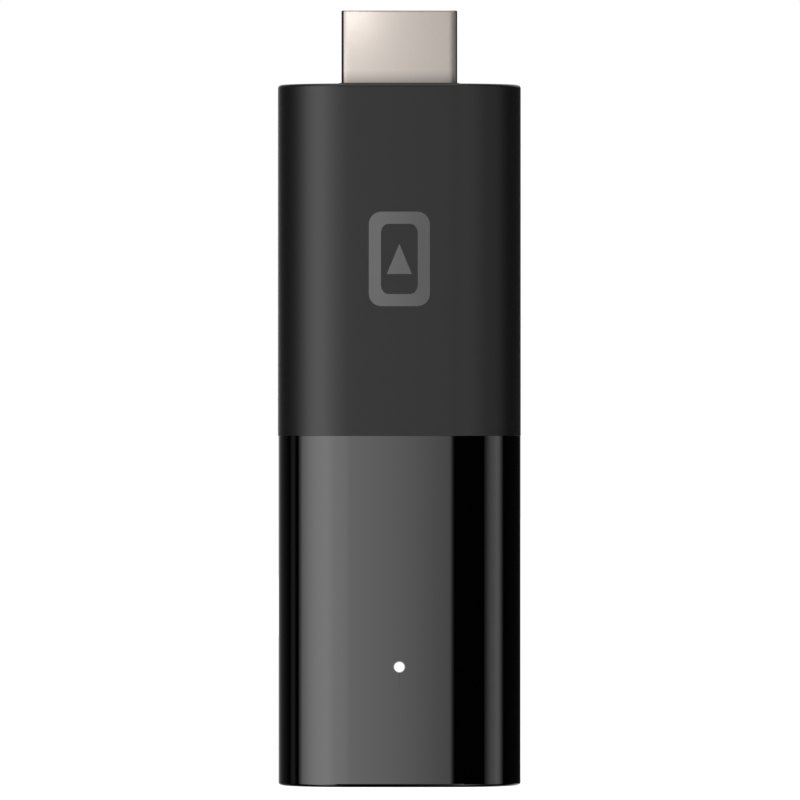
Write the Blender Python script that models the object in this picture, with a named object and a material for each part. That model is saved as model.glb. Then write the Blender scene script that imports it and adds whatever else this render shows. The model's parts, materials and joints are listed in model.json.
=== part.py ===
"""A streaming media player: a stick with an HDMI plug at its top end.

Lengths are in metres. The stick stands on its lower end face, with +Z towards the plug, its front
towards -Y and its power socket in the -X side. The origin is the centre of the lower end face.

The matte sleeve and the gloss cap of the casing lap and snap together half-way up. Between them they
hold one circuit board by its edges, with the plug across the board's top end.
"""

import math

import bmesh
import bpy
from mathutils import Vector

MM = 0.001

# The casing
BODY_WIDTH = 29.2 * MM
BODY_THICKNESS = 15.2 * MM
BODY_HEIGHT = 84.2 * MM
FLAT_WIDTH = 11.8 * MM  # the flat middle of the front and the back
SEAM_HEIGHT = 42.0 * MM
SEAM_GAP = 0.08 * MM
END_RADIUS = 0.42 * MM
WALL = 1.5 * MM
END_WALL = 1.6 * MM
SIDE_STEPS = 24
EDGE_STEPS = 3

# The lap joint and its snap hooks
TONGUE_HEIGHT = 3.2 * MM
TONGUE_INSET = 0.85 * MM
SOCKET_INSET = 0.75 * MM
SOCKET_SPARE = 0.15 * MM
LEAD_IN = 0.15 * MM
HOOK_WIDTH = 2.6 * MM
HOOK_HEIGHT = 1.2 * MM
HOOK_REACH = 0.35 * MM
HOOK_PLACE = 3.4 * MM
HOOK_ABOVE_SEAM = 1.0 * MM
POCKET_SPARE = 0.15 * MM
POCKET_REACH = 0.42 * MM

# The HDMI type A plug
PLUG_WIDTH = 13.9 * MM
PLUG_THICKNESS = 4.45 * MM
PLUG_NARROW_WIDTH = 10.4 * MM
PLUG_SIDE = 2.55 * MM
PLUG_RADIUS = 0.6 * MM
PLUG_REACH = 8.9 * MM
PLUG_REAR = 79.3 * MM
PLUG_SHEET = 0.3 * MM
PLUG_TIP_BEVEL = 0.12 * MM
COLLAR_HEIGHT = 0.2 * MM
COLLAR_BAND = 0.3 * MM
SLOT_CLEARANCE = 0.08 * MM
LEG_LENGTH = 4.2 * MM
LEG_DEPTH = 1.5 * MM
LEG_INSET = 0.03 * MM
MOUTH_RECESS = 0.7 * MM
MOUTH_WIDTH = 10.9 * MM
MOUTH_THICKNESS = 2.1 * MM
MOUTH_DEPTH = 7.8 * MM
CONTACT_PITCH = 1.0 * MM
CONTACT_WIDTH = 0.42 * MM
CONTACT_SHEET = 0.2 * MM
CHANNEL_WIDTH = 0.54 * MM
CHANNEL_INNER = 0.45 * MM
CHANNEL_OUTER = 1.62 * MM
CONTACT_RUN = 1.38 * MM  # how far the straight runs lie from the plug's middle plane
CONTACT_BOW = 1.02 * MM  # how far the bowed tips do
CONTACT_RECESS = 0.8 * MM
FRONT_CONTACTS = 10
REAR_CONTACTS = 9

# The micro-USB type B power socket
PORT_HEIGHT = 21.6 * MM
PORT_LENGTH = 7.9 * MM
PORT_WIDTH = 2.9 * MM
PORT_SHIFT = 0.52 * MM  # behind the middle plane, which brings the contacts to the board's rear face
PORT_RADIUS = 0.9 * MM
USB_MOUTH = -13.75 * MM
USB_REAR = -8.75 * MM
USB_WIDTH = 7.5 * MM
USB_NARROW_WIDTH = 5.5 * MM
USB_THICKNESS = 2.6 * MM
USB_SIDE = 1.55 * MM
USB_RADIUS = 0.35 * MM
USB_SHEET = 0.25 * MM
USB_BASE_DEPTH = 1.15 * MM
USB_EAR = (-12.2 * MM, -10.2 * MM)
USB_EAR_REACH = 1.2 * MM
TONGUE_WIDTH = 3.7 * MM
TONGUE_FACES = (-0.62 * MM, -0.02 * MM)
TONGUE_RECESS = 0.75 * MM
USB_PITCH = 0.65 * MM
USB_CONTACTS = 5
USB_CONTACT_WIDTH = 0.32 * MM
USB_CONTACT_SHEET = 0.14 * MM
USB_CHANNEL_WIDTH = 0.44 * MM
USB_CHANNEL_DEPTH = 0.25 * MM

# The circuit board, held in the middle of the casing by rails on its long edges
BOARD_WIDTH = 25.2 * MM
BOARD_THICKNESS = 1.0 * MM
BOARD_LOW = 2.0 * MM
BOARD_HIGH = 79.0 * MM
NOTCH_SPARE = 0.25 * MM
RAIL_WIDTH = 0.8 * MM
RAIL_REACH = 12.0 * MM
RAIL_ROOT = 13.6 * MM

# The status light
LIGHT_HEIGHT = 14.4 * MM
LIGHT_RADIUS = 0.65 * MM
LIGHT_CLEARANCE = 0.06 * MM
LIGHT_RECESS = 0.02 * MM
FLANGE_RADIUS = 1.2 * MM
FLANGE_THICKNESS = 0.65 * MM
DIODE_SIZE = (1.6 * MM, 0.8 * MM)
DIODE_HEIGHT = 0.6 * MM

# The screening cans, pads and heat spreaders
SHIELD_WIDTH = 20.4 * MM
SHIELD_RADIUS = 0.8 * MM
SHIELD_SHEET = 0.25 * MM
FRAME_LIP = 1.2 * MM
FRONT_SHIELD = (36.0 * MM, 70.0 * MM)
FRONT_SHIELD_HEIGHT = 1.7 * MM
COVER_SKIRT = 1.5 * MM
REAR_SHIELD = (40.0 * MM, 66.0 * MM)
REAR_SHIELD_HEIGHT = 1.85 * MM
SPREADER_SHEET = 0.4 * MM
SPREADER_OFFSET = 5.75 * MM
SPREADER_FLAT = 6.3 * MM
SPREADER_WING = (9.9 * MM, 4.7 * MM)

# The parts on the board: how high their sides rise, as a share of the part's height
PLAIN_SIDE = 0.9
STEPPED_SIDE = 0.35
STEP_RISE = 0.05
CHIP_HEIGHT = 1.0 * MM

GAP = 0.05 * MM  # between pieces that rest on each other
LEAST_RADIUS = 0.05 * MM
OVERLAP = 0.2 * MM  # how far joined shapes run into each other
SPARE = 1.0 * MM  # how far a cutter runs past what it cuts
CORNER_STEPS = 4
ROUND_STEPS = 24
SHARP_ANGLE = math.radians(32)

FRONT, REAR = -1, 1
BOARD_FACE = BOARD_THICKNESS / 2
PLUG_TIP = BODY_HEIGHT + PLUG_REACH

FINISHES = {
    # name: (red, green, blue), roughness, metallic
    "matte_black_plastic": ((0.030, 0.030, 0.031), 0.55, 0.0),
    "gloss_black_plastic": ((0.004, 0.004, 0.004), 0.04, 0.0),
    "nickel_plated_steel": ((0.72, 0.66, 0.60), 0.25, 1.0),
    "tin_plated_steel": ((0.62, 0.63, 0.64), 0.35, 1.0),
    "gold_plated_contact": ((0.83, 0.61, 0.26), 0.22, 1.0),
    "black_insulator": ((0.012, 0.012, 0.013), 0.45, 0.0),
    "solder_mask": ((0.010, 0.055, 0.030), 0.35, 0.0),
    "chip_epoxy": ((0.018, 0.018, 0.020), 0.60, 0.0),
    "ceramic": ((0.62, 0.55, 0.45), 0.50, 0.0),
    "thermal_silicone": ((0.30, 0.42, 0.52), 0.80, 0.0),
    "aluminium_sheet": ((0.80, 0.81, 0.82), 0.30, 1.0),
    "clear_light_pipe": ((0.95, 0.96, 0.98), 0.08, 0.0),
}


def finish_material(finish):
    """The one material of that finish, made when first asked for."""
    if finish in bpy.data.materials:
        return bpy.data.materials[finish]
    colour, roughness, metallic = FINISHES[finish]
    material = bpy.data.materials.new(finish)
    material.use_nodes = True
    shader = material.node_tree.nodes["Principled BSDF"]
    shader.inputs["Base Color"].default_value = (*colour, 1.0)
    shader.inputs["Roughness"].default_value = roughness
    shader.inputs["Metallic"].default_value = metallic
    return material


def swept(name, finish, axis, sections, closed=False, place=(0, 0, 0)):
    """A solid whose skin joins each section to the next. Its end sections are capped, or joined if closed.

    A section is a list of (u, v) points and a distance along the axis: u, v are Y, Z for axis X;
    X, Z for axis Y; and X, Y for axis Z.
    """
    points_of = {
        "X": lambda u, v, along: (along, u, v),
        "Y": lambda u, v, along: (u, along, v),
        "Z": lambda u, v, along: (u, v, along),
    }[axis]
    mesh = bmesh.new()
    rings = [[mesh.verts.new(points_of(u, v, along)) for u, v in outline] for outline, along in sections]
    pairs = list(zip(rings, rings[1:]))
    if closed:
        pairs.append((rings[-1], rings[0]))
    else:
        mesh.faces.new(rings[0])
        mesh.faces.new(rings[-1])
    for first, second in pairs:
        for i in range(len(first)):
            j = (i + 1) % len(first)
            mesh.faces.new((first[i], first[j], second[j], second[i]))
    bmesh.ops.recalc_face_normals(mesh, faces=mesh.faces)
    data = bpy.data.meshes.new(name)
    mesh.to_mesh(data)
    mesh.free()
    data.shade_smooth()
    data.set_sharp_from_angle(angle=SHARP_ANGLE)
    data.materials.append(finish_material(finish))
    return add_object(name, data, place)


def add_object(name, data, place):
    """An object that shows that mesh, under the stick's own empty."""
    obj = bpy.data.objects.new(name, data)
    obj.location = place
    obj.parent = bpy.data.objects["streaming_player"]
    bpy.context.scene.collection.objects.link(obj)
    return obj


def boolean(target, operation, tool):
    """Joins tool to target or cuts it away, and keeps tool as a hidden guide."""
    tool.hide_render = True
    tool.display_type = "WIRE"
    modifier = target.modifiers.new(tool.name, "BOOLEAN")
    modifier.operation = operation
    modifier.object = tool


def moved_in(corners, distance):
    """A convex outline with every side moved inwards, or outwards by a negative distance."""
    moved = []
    for i, corner in enumerate(corners):
        before = (Vector(corners[i - 1]) - Vector(corner)).normalized()
        after = (Vector(corners[(i + 1) % len(corners)]) - Vector(corner)).normalized()
        half = before.angle(after) / 2
        moved.append(Vector(corner) + (before + after).normalized() * distance / math.sin(half))
    return moved


def rounded(corners, radius, steps):
    """A convex outline with each corner turned into an arc."""
    points = []
    for i, corner in enumerate(corners):
        before = (Vector(corners[i - 1]) - Vector(corner)).normalized()
        after = (Vector(corners[(i + 1) % len(corners)]) - Vector(corner)).normalized()
        half = before.angle(after) / 2
        inwards = (before + after).normalized()
        centre = Vector(corner) + inwards * radius / math.sin(half)
        hand = math.copysign(1, before.cross(after))
        middle = math.atan2(-inwards.y, -inwards.x)
        for step in range(steps + 1):
            turn = middle + hand * (math.pi - 2 * half) * (0.5 - step / steps)
            points.append(centre + Vector((math.cos(turn), math.sin(turn))) * radius)
    return points


def rounded_section(corners, radius, steps=CORNER_STEPS):
    """A function that gives the rounded outline moved in by any inset."""

    def section(inset):
        return rounded(moved_in(corners, inset), max(radius - inset, LEAST_RADIUS), steps)

    return section


def rectangle(low, high):
    """The corners of a rectangle, in order."""
    return [(low[0], low[1]), (high[0], low[1]), (high[0], high[1]), (low[0], high[1])]


def d_section(width, narrow_width, thickness, side, radius):
    """A connector's outline: a wide face at -v, straight sides, and bevels to a narrow face at +v."""
    half, narrow, depth = width / 2, narrow_width / 2, thickness / 2
    corners = [(-half, -depth), (half, -depth), (half, side - depth)]
    corners += [(narrow, depth), (-narrow, depth), (-half, side - depth)]
    return rounded_section(corners, radius)


def swapped(section):
    """The same outline with its two directions exchanged."""
    return lambda inset: [(v, u) for u, v in section(inset)]


def casing_section(inset):
    """The casing's outline moved in by inset: a flat front and back, and half-elliptical sides."""
    flat = FLAT_WIDTH / 2
    width = BODY_WIDTH / 2 - flat - inset
    depth = BODY_THICKNESS / 2 - inset
    turns = [math.pi * step / SIDE_STEPS for step in range(SIDE_STEPS + 1)]
    right = [(flat + width * math.sin(turn), -depth * math.cos(turn)) for turn in turns]
    return right + [(-x, -y) for x, y in right]


def end_edge(end, inwards):
    """The rounded edge between an end face and the sides, as (inset, height) steps from the end face."""
    turns = [math.pi / 2 * step / EDGE_STEPS for step in range(EDGE_STEPS + 1)]
    return [
        (END_RADIUS * (1 - math.sin(turn)), end + inwards * END_RADIUS * (1 - math.cos(turn)))
        for turn in turns
    ]


def sections_of(section, profile):
    """One section for each (inset, distance) of a profile."""
    return [(section(inset), along) for inset, along in profile]


def block(name, finish, low, high):
    """A plain box between two corners."""
    outline = rectangle(low[:2], high[:2])
    return swept(name, finish, "Z", [(outline, low[2]), (outline, high[2])])


def ribbon(path, thickness):
    """The outline of a strip of sheet that follows path."""
    path = [Vector(point) for point in path]
    steps = [(b - a).normalized() for a, b in zip(path, path[1:])]
    normals = [Vector((-step.y, step.x)) for step in steps]
    one_side, other_side = [], []
    for i, point in enumerate(path):
        before, after = normals[max(i - 1, 0)], normals[min(i, len(normals) - 1)]
        across = (before + after).normalized()
        across *= thickness / 2 / across.dot(before)
        one_side.append(point + across)
        other_side.append(point - across)
    return one_side + other_side[::-1]


def hook_outline():
    """A snap hook from the side, as (depth, height): flat below, to hold, and sloped above, to enter."""
    low = SEAM_HEIGHT + HOOK_ABOVE_SEAM
    face = BODY_THICKNESS / 2 - TONGUE_INSET
    crest = (face + HOOK_REACH, low + HOOK_HEIGHT / 3)
    return [(face - OVERLAP, low), (face + HOOK_REACH, low), crest, (face - OVERLAP, low + HOOK_HEIGHT)]


def pocket_outline():
    """The pocket that a snap hook springs into, from the side, as (depth, height)."""
    low = SEAM_HEIGHT + HOOK_ABOVE_SEAM - POCKET_SPARE
    high = low + HOOK_HEIGHT + 2 * POCKET_SPARE
    face = BODY_THICKNESS / 2 - TONGUE_INSET + POCKET_REACH
    return rectangle((BODY_THICKNESS / 2 - WALL, low), (face, high))


def add_hooks(target, operation, width, outline):
    """Joins the four hooks to the tongue, or cuts their four pockets in the socket."""
    for side in (FRONT, REAR):
        for place in (-HOOK_PLACE, HOOK_PLACE):
            turned_outline = [(side * depth, height) for depth, height in outline]
            ends = [(turned_outline, place - width / 2), (turned_outline, place + width / 2)]
            name = f"{target.name}_hook_{len(target.modifiers) + 1}"
            boolean(target, operation, swept(name, "black_insulator", "X", ends))


def add_rails(target, finish, hand, low, high):
    """Two rails on one side wall that hold an edge of the board between them."""
    for side in (FRONT, REAR):
        depths = sorted((side * (BOARD_FACE + GAP), side * (BOARD_FACE + GAP + RAIL_WIDTH)))
        widths = sorted((hand * RAIL_REACH, hand * RAIL_ROOT))
        name = f"{target.name}_rail_{len(target.modifiers) + 1}"
        rail = block(name, finish, (widths[0], depths[0], low), (widths[1], depths[1], high))
        boolean(target, "UNION", rail)


def make_lower_housing():
    """The gloss cap: closed at the bottom, with a tongue round its rim that enters the sleeve."""
    finish = "gloss_black_plastic"
    rim = SEAM_HEIGHT - SEAM_GAP / 2
    top = SEAM_HEIGHT + TONGUE_HEIGHT
    profile = end_edge(0, 1)
    profile += [(0, rim), (TONGUE_INSET, rim), (TONGUE_INSET, top - LEAD_IN)]
    profile += [(TONGUE_INSET + LEAD_IN, top), (WALL, top), (WALL, WALL)]
    cap = swept("lower_housing", finish, "Z", sections_of(casing_section, profile))
    add_hooks(cap, "UNION", HOOK_WIDTH, hook_outline())
    add_rails(cap, finish, 1, WALL - OVERLAP, SEAM_HEIGHT - SPARE)
    add_rails(cap, finish, -1, WALL - OVERLAP, PORT_HEIGHT - PORT_LENGTH / 2 - SPARE)
    boolean(cap, "DIFFERENCE", port_cutter())
    boolean(cap, "DIFFERENCE", socket_path_cutter())
    boolean(cap, "DIFFERENCE", light_hole_cutter())


def port_cutter():
    """The round-cornered opening for a power plug, through the -X wall."""
    half = (PORT_WIDTH / 2, PORT_LENGTH / 2)
    section = rounded_section(rectangle((-half[0], -half[1]), half), PORT_RADIUS)
    ends = [(section(0), -BODY_WIDTH / 2 - SPARE), (section(0), -RAIL_REACH)]
    return swept("port_cutter", "black_insulator", "X", ends, place=(0, PORT_SHIFT, PORT_HEIGHT))


def socket_path_cutter():
    """The groove in the -X wall that the power socket slides down when the board goes in."""
    reach = USB_MOUTH - 2 * GAP
    depth = PORT_WIDTH / 2 - GAP
    low = PORT_HEIGHT - USB_WIDTH / 2 - GAP
    high = SEAM_HEIGHT + TONGUE_HEIGHT + SPARE
    corners = (reach, PORT_SHIFT - depth, low), (-RAIL_REACH, PORT_SHIFT + depth, high)
    return block("socket_path_cutter", "black_insulator", *corners)


def light_hole_cutter():
    """The round hole in the front wall that shows the end of the light pipe."""
    circle = circle_of(LIGHT_RADIUS + LIGHT_CLEARANCE)
    front = -BODY_THICKNESS / 2
    ends = [(circle, front - SPARE), (circle, front + WALL + SPARE)]
    return swept("light_hole_cutter", "black_insulator", "Y", ends, place=(0, 0, LIGHT_HEIGHT))


def make_upper_housing():
    """The matte sleeve: a slot for the plug in its end wall, and a socket for the cap's tongue."""
    finish = "matte_black_plastic"
    rim = SEAM_HEIGHT + SEAM_GAP / 2
    shoulder = SEAM_HEIGHT + TONGUE_HEIGHT + SOCKET_SPARE
    profile = end_edge(BODY_HEIGHT, -1)
    profile += [(0, rim), (SOCKET_INSET, rim), (SOCKET_INSET, shoulder)]
    profile += [(WALL, shoulder), (WALL, BODY_HEIGHT - END_WALL)]
    sleeve = swept("upper_housing", finish, "Z", sections_of(casing_section, profile))
    collar = plug_section(-COLLAR_BAND)
    ends = [(collar, BODY_HEIGHT - OVERLAP), (collar, BODY_HEIGHT + COLLAR_HEIGHT)]
    boolean(sleeve, "UNION", swept("plug_collar", finish, "Z", ends))
    add_hooks(sleeve, "DIFFERENCE", HOOK_WIDTH + 2 * POCKET_SPARE, pocket_outline())
    for hand in (-1, 1):
        add_rails(sleeve, finish, hand, shoulder + SPARE, BODY_HEIGHT - END_WALL + OVERLAP)
    slot = plug_section(-SLOT_CLEARANCE)
    ends = [(slot, BODY_HEIGHT - END_WALL - SPARE), (slot, BODY_HEIGHT + SPARE)]
    boolean(sleeve, "DIFFERENCE", swept("plug_slot_cutter", finish, "Z", ends))


plug_section = d_section(PLUG_WIDTH, PLUG_NARROW_WIDTH, PLUG_THICKNESS, PLUG_SIDE, PLUG_RADIUS)
usb_section = swapped(d_section(USB_WIDTH, USB_NARROW_WIDTH, USB_THICKNESS, USB_SIDE, USB_RADIUS))


def circle_of(radius):
    """A round outline."""
    turns = [2 * math.pi * step / ROUND_STEPS for step in range(ROUND_STEPS)]
    return [(radius * math.cos(turn), radius * math.sin(turn)) for turn in turns]


def make_plug_shell():
    """The folded steel shell of the plug, open at both ends, with a solder leg at each side."""
    profile = [(0, PLUG_REAR), (0, PLUG_TIP - PLUG_TIP_BEVEL), (PLUG_TIP_BEVEL, PLUG_TIP)]
    profile += [(PLUG_SHEET, PLUG_TIP), (PLUG_SHEET, PLUG_REAR)]
    finish = "nickel_plated_steel"
    shell = swept("hdmi_plug_shell", finish, "Z", sections_of(plug_section, profile), closed=True)
    inner = PLUG_WIDTH / 2 - PLUG_SHEET + LEG_INSET
    outer = PLUG_WIDTH / 2 - LEG_INSET
    for hand in (-1, 1):
        widths = sorted((hand * inner, hand * outer))
        low = (widths[0], -LEG_DEPTH, PLUG_REAR - LEG_LENGTH)
        high = (widths[1], 0, PLUG_REAR + OVERLAP)
        boolean(shell, "UNION", block(f"plug_leg_{hand}", finish, low, high))


def contact_places(count):
    """Where a row of that many contacts stands, centred on the plug."""
    return [(i - (count - 1) / 2) * CONTACT_PITCH for i in range(count)]


def contact_rows():
    """(side, place) of every contact: ten along the wide face, and nine between them opposite."""
    rows = [(FRONT, place) for place in contact_places(FRONT_CONTACTS)]
    return rows + [(REAR, place) for place in contact_places(REAR_CONTACTS)]


def make_plug_insulator():
    """The moulded insulator inside the shell: a mouth for the socket's tongue, and a channel per contact."""
    rear = PLUG_REAR + OVERLAP
    face = PLUG_TIP - MOUTH_RECESS
    outline = plug_section(PLUG_SHEET + GAP)
    finish = "black_insulator"
    insulator = swept("hdmi_insulator", finish, "Z", [(outline, rear), (outline, face)])
    low = (-MOUTH_WIDTH / 2, -MOUTH_THICKNESS / 2, face - MOUTH_DEPTH)
    high = (MOUTH_WIDTH / 2, MOUTH_THICKNESS / 2, face + SPARE)
    boolean(insulator, "DIFFERENCE", block("mouth_cutter", finish, low, high))
    for side, place in contact_rows():
        depths = sorted((side * CHANNEL_INNER, side * CHANNEL_OUTER))
        low = (place - CHANNEL_WIDTH / 2, depths[0], rear - SPARE)
        high = (place + CHANNEL_WIDTH / 2, depths[1], face + SPARE)
        name = f"channel_cutter_{len(insulator.modifiers)}"
        boolean(insulator, "DIFFERENCE", block(name, finish, low, high))


def make_plug_contacts():
    """The sprung contacts: a tail on the board, a straight run up the channel, and a bowed tip."""
    run, bow = CONTACT_RUN, CONTACT_BOW
    tail = BOARD_FACE + GAP + CONTACT_SHEET / 2
    tip = PLUG_TIP - MOUTH_RECESS - CONTACT_RECESS
    path = [(tail, BOARD_HIGH - 2.1 * MM), (tail, BOARD_HIGH - 0.1 * MM), (run, BOARD_HIGH + 1.6 * MM)]
    path += [(run, tip - 2.0 * MM), (bow, tip - 1.2 * MM), (bow, tip - 0.8 * MM), (run, tip)]
    half = CONTACT_WIDTH / 2
    for number, (side, place) in enumerate(contact_rows(), 1):
        outline = ribbon([(side * depth, height) for depth, height in path], CONTACT_SHEET)
        ends = [(outline, -half), (outline, half)]
        swept(f"hdmi_contact_{number:02d}", "gold_plated_contact", "X", ends, place=(place, 0, 0))


def make_board():
    """The circuit board, notched at its top for the plug's legs and at its -X edge for the power socket."""
    half = BOARD_WIDTH / 2
    leg_in = PLUG_WIDTH / 2 - PLUG_SHEET - NOTCH_SPARE
    leg_out = PLUG_WIDTH / 2 + NOTCH_SPARE
    leg_low = PLUG_REAR - LEG_LENGTH - NOTCH_SPARE
    usb_low = PORT_HEIGHT - USB_WIDTH / 2 - NOTCH_SPARE
    usb_high = PORT_HEIGHT + USB_WIDTH / 2 + NOTCH_SPARE
    usb_in = USB_REAR + NOTCH_SPARE
    right = [(half, BOARD_LOW), (half, BOARD_HIGH), (leg_out, BOARD_HIGH), (leg_out, leg_low)]
    right += [(leg_in, leg_low), (leg_in, BOARD_HIGH)]
    left = [(-x, z) for x, z in reversed(right)]
    socket = [(-half, usb_high), (usb_in, usb_high), (usb_in, usb_low), (-half, usb_low)]
    outline = right + left[:-1] + socket + left[-1:]
    ends = [(outline, -BOARD_FACE), (outline, BOARD_FACE)]
    swept("main_pcb", "solder_mask", "Y", ends)


def make_usb_shell():
    """The power socket's folded shell, open to the -X side, with two ears soldered to the board."""
    profile = [(0, USB_MOUTH), (0, USB_REAR), (USB_SHEET, USB_REAR), (USB_SHEET, USB_MOUTH)]
    finish = "tin_plated_steel"
    sections = sections_of(usb_section, profile)
    shell = swept("micro_usb_shell", finish, "X", sections, closed=True, place=(0, PORT_SHIFT, PORT_HEIGHT))
    front = BOARD_FACE + GAP
    ear_root = USB_WIDTH / 2 - OVERLAP
    ear_end = USB_WIDTH / 2 + USB_EAR_REACH
    for hand in (-1, 1):
        heights = sorted((PORT_HEIGHT + hand * ear_root, PORT_HEIGHT + hand * ear_end))
        low = (USB_EAR[0], front, heights[0])
        high = (USB_EAR[1], front + USB_SHEET, heights[1])
        boolean(shell, "UNION", block(f"usb_ear_{hand}", finish, low, high))


def make_usb_tongue():
    """The power socket's insulator: a block across its rear end, and the tongue that stands out of it."""
    finish = "black_insulator"
    outline = usb_section(USB_SHEET + GAP)
    ends = [(outline, USB_REAR - USB_BASE_DEPTH), (outline, USB_REAR + GAP)]
    tongue = swept("micro_usb_tongue", finish, "X", ends, place=(0, PORT_SHIFT, PORT_HEIGHT))
    half = TONGUE_WIDTH / 2
    low = (USB_MOUTH + TONGUE_RECESS, PORT_SHIFT + TONGUE_FACES[0], PORT_HEIGHT - half)
    high = (USB_REAR - USB_BASE_DEPTH + OVERLAP, PORT_SHIFT + TONGUE_FACES[1], PORT_HEIGHT + half)
    boolean(tongue, "UNION", block("tongue_blade", finish, low, high))
    for place in usb_places():
        low = (USB_REAR - USB_BASE_DEPTH - SPARE, PORT_SHIFT, place - USB_CHANNEL_WIDTH / 2)
        high = (USB_REAR + SPARE, PORT_SHIFT + USB_CHANNEL_DEPTH, place + USB_CHANNEL_WIDTH / 2)
        name = f"tongue_channel_{len(tongue.modifiers)}"
        boolean(tongue, "DIFFERENCE", block(name, finish, low, high))


def usb_places():
    """The heights of the power socket's contacts."""
    return [PORT_HEIGHT + (i - (USB_CONTACTS - 1) / 2) * USB_PITCH for i in range(USB_CONTACTS)]


def make_usb_contacts():
    """Five strips along the tongue, which run on through the block and over the board's rear face."""
    half = USB_CONTACT_WIDTH / 2
    tail = BOARD_FACE + GAP + USB_CONTACT_SHEET / 2
    path = [(USB_MOUTH + 0.95 * MM, tail), (USB_REAR + 1.4 * MM, tail)]
    outline = ribbon(path, USB_CONTACT_SHEET)
    for number, place in enumerate(usb_places(), 1):
        ends = [(outline, -half), (outline, half)]
        swept(f"micro_usb_contact_{number}", "gold_plated_contact", "Z", ends, place=(0, 0, place))


def turned(name, finish, profile, place):
    """A round piece along Y from (radius, distance) steps."""
    swept(name, finish, "Y", [(circle_of(radius), along) for radius, along in profile], place=place)


def make_status_light():
    """The light-emitting diode on the board, and the clear pipe that carries its light to the front."""
    on_board("status_led", "ceramic", FRONT, (0, LIGHT_HEIGHT), DIODE_SIZE, DIODE_HEIGHT)
    front = -BODY_THICKNESS / 2
    flange = front + WALL + GAP
    profile = [(LIGHT_RADIUS, front + LIGHT_RECESS), (LIGHT_RADIUS, flange)]
    profile += [(FLANGE_RADIUS, flange), (FLANGE_RADIUS, flange + FLANGE_THICKNESS)]
    profile += [(LIGHT_RADIUS, flange + FLANGE_THICKNESS)]
    profile += [(LIGHT_RADIUS, -BOARD_FACE - DIODE_HEIGHT - 3 * GAP)]
    turned("led_light_pipe", "clear_light_pipe", profile, (0, 0, LIGHT_HEIGHT))


def on_board(name, finish, side, centre, size, height, step=0.0, start=BOARD_FACE):
    """A flat part soldered to one face of the board, its top narrowed by step, centred at (X, Z)."""
    half = (size[0] / 2, size[1] / 2)
    section = rounded_section(rectangle((-half[0], -half[1]), half), LEAST_RADIUS * 2, 1)
    base = start + GAP
    if step:
        rises = [(0, STEPPED_SIDE), (step, STEPPED_SIDE + STEP_RISE), (step + LEAST_RADIUS, 1)]
    else:
        rises = [(0, PLAIN_SIDE), (LEAST_RADIUS, 1)]
    profile = [(0, side * base)] + [(inset, side * (base + height * rise)) for inset, rise in rises]
    swept(name, finish, "Y", sections_of(section, profile), place=(centre[0], 0, centre[1]))


def make_chips():
    """The integrated circuits: a processor and its memory in front, and storage behind."""
    chip = "chip_epoxy"
    on_board("system_on_chip", chip, FRONT, (0, 59 * MM), (12 * MM, 12 * MM), CHIP_HEIGHT, step=0.6 * MM)
    on_board("memory_chip", chip, FRONT, (0, 44 * MM), (13 * MM, 8 * MM), CHIP_HEIGHT, step=0.3 * MM)
    on_board("storage_chip", chip, REAR, (0, 54 * MM), (11.5 * MM, 13 * MM), CHIP_HEIGHT, step=0.3 * MM)
    on_board("power_management_chip", chip, FRONT, (4.5 * MM, 28 * MM), (5 * MM, 5 * MM), 0.9 * MM)
    for number, place in enumerate((-2.4 * MM, 2.4 * MM), 1):
        centre = (place, 73.4 * MM)
        on_board(f"hdmi_esd_array_{number}", chip, FRONT, centre, (2.5 * MM, 1.0 * MM), 0.6 * MM)


def make_small_parts():
    """Inductors, capacitors, the clock crystal, the input fuse and the antenna."""
    for number, place in enumerate((-6.5 * MM, -1.5 * MM), 1):
        centre = (place, 31.0 * MM)
        on_board(f"power_inductor_{number}", "chip_epoxy", FRONT, centre, (4 * MM, 4 * MM), 1.9 * MM)
    for number, place in enumerate((4.6 * MM, 8.0 * MM), 1):
        centre = (place, 22.0 * MM)
        on_board(f"bulk_capacitor_{number}", "ceramic", FRONT, centre, (1.6 * MM, 3.2 * MM), 1.5 * MM)
    on_board("input_fuse", "ceramic", FRONT, (-5.6 * MM, 21.6 * MM), (1.6 * MM, 3.2 * MM), 0.6 * MM)
    centre = (9.2 * MM, 32.5 * MM)
    on_board("clock_crystal", "tin_plated_steel", FRONT, centre, (2.5 * MM, 3.2 * MM), 0.8 * MM)
    on_board("chip_antenna", "ceramic", FRONT, (-6.0 * MM, 4.6 * MM), (9.5 * MM, 2.2 * MM), 1.3 * MM)


def make_wireless_module():
    """The Wi-Fi and Bluetooth module on the board's rear face: its own small board and its can."""
    centre = (3.5 * MM, 13.5 * MM)
    side, board_height = 12.0 * MM, 0.8 * MM
    on_board("wireless_module_board", "solder_mask", REAR, centre, (side, side), board_height)
    start = BOARD_FACE + GAP + board_height
    can_side = side - 1.0 * MM
    corners = rectangle((-can_side / 2, -can_side / 2), (can_side / 2, can_side / 2))
    can("wireless_module_can", rounded_section(corners, SHIELD_RADIUS), REAR, start, 1.4 * MM, centre)


def can(name, section, side, start, height, centre, inset=0.0):
    """A thin box of tinned sheet with no floor, standing off a board by its rim."""
    low, high = start + GAP, start + GAP + height
    profile = [(inset, side * high), (inset, side * low), (inset + SHIELD_SHEET, side * low)]
    profile += [(inset + SHIELD_SHEET, side * (high - SHIELD_SHEET))]
    place = (centre[0], 0, centre[1])
    swept(name, "tin_plated_steel", "Y", sections_of(section, profile), place=place)


def shield_section(heights):
    """The outline of a screening can between two heights."""
    half = SHIELD_WIDTH / 2
    return rounded_section(rectangle((-half, heights[0]), (half, heights[1])), SHIELD_RADIUS)


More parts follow.
